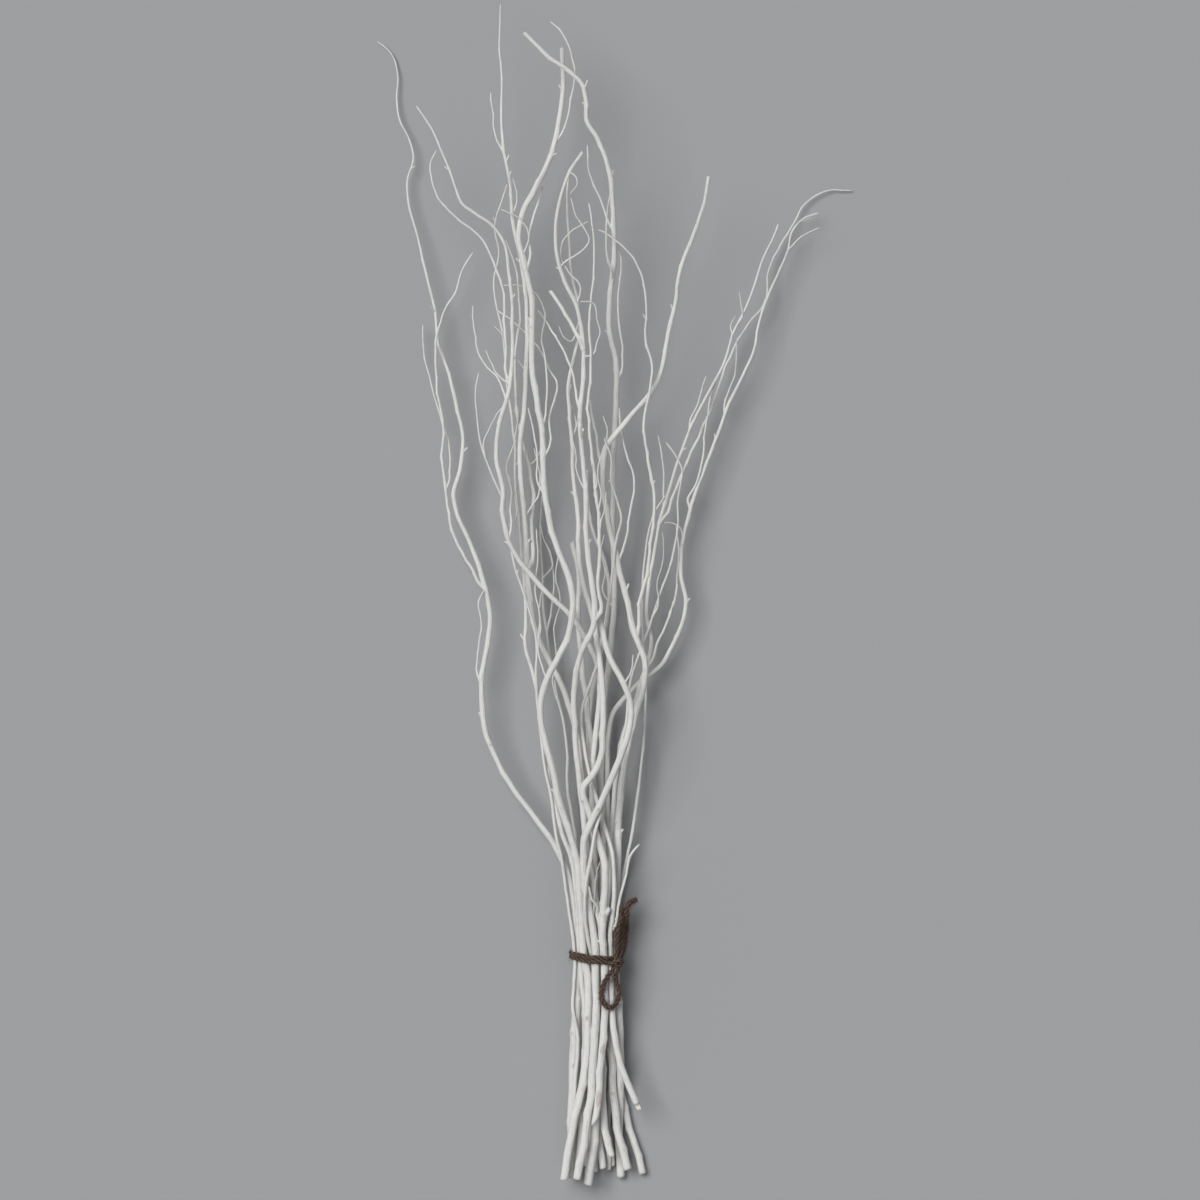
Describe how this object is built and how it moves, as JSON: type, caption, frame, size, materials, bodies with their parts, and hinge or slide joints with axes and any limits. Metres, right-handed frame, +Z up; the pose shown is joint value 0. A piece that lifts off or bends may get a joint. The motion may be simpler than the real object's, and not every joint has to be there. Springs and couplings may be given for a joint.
{
  "type": "bundle of curly willow branches",
  "caption": "Long bundle of bare curly branches painted white, tied low down with brown jute twine in a bow, lying on its side.",
  "frame": {"origin": "on the floor, under the middle of the bundle's box", "axes": "+Y along the bundle from the cut ends to the tips, +X across it to the right, +Z up from the floor it lies on"},
  "size_m": [0.4776, 1.1796, 0.1416],
  "materials": {
    "painted_bark": "matte white paint over thin bark, with grey and pink-brown showing at the nodes",
    "jute_twine": "rough dark brown twisted jute"
  },
  "bodies": {
    "root": {"fork_a1": "painted_bark", "fork_a2": "painted_bark", "fork_a3": "painted_bark", "fork_b1": "painted_bark", "fork_b2": "painted_bark", "fork_b3": "painted_bark", "fork_d1": "painted_bark", "fork_d2": "painted_bark", "fork_d3": "painted_bark", "fork_d4": "painted_bark", "fork_d5": "painted_bark", "fork_g1": "painted_bark", "fork_g2": "painted_bark", "fork_g3": "painted_bark", "fork_h1": "painted_bark", "fork_h2": "painted_bark", "fork_i1": "painted_bark", "fork_i2": "painted_bark", "fork_i3": "painted_bark", "fork_i4": "painted_bark", "fork_j1": "painted_bark", "fork_k1": "painted_bark", "fork_l1": "painted_bark", "fork_l2": "painted_bark", "fork_l3": "painted_bark", "fork_m1": "painted_bark", "fork_m2": "painted_bark", "fork_n1": "painted_bark", "fork_n2": "painted_bark", "fork_n3": "painted_bark", "stem_a": "painted_bark", "stem_b": "painted_bark", "stem_c": "painted_bark", "stem_d": "painted_bark", "stem_e": "painted_bark", "stem_f": "painted_bark", "stem_g": "painted_bark", "stem_h": "painted_bark", "stem_i": "painted_bark", "stem_j": "painted_bark", "stem_k": "painted_bark", "stem_l": "painted_bark", "stem_m": "painted_bark", "stem_n": "painted_bark", "stem_o": "painted_bark", "stem_p": "painted_bark", "stem_q": "painted_bark", "stem_r": "painted_bark", "stem_s": "painted_bark", "twine_knot": "jute_twine", "twine_loop_high": "jute_twine", "twine_loop_low": "jute_twine", "twine_tail": "jute_twine", "twine_turn_lower": "jute_twine", "twine_turn_upper": "jute_twine"}
  },
  "joints": []
}
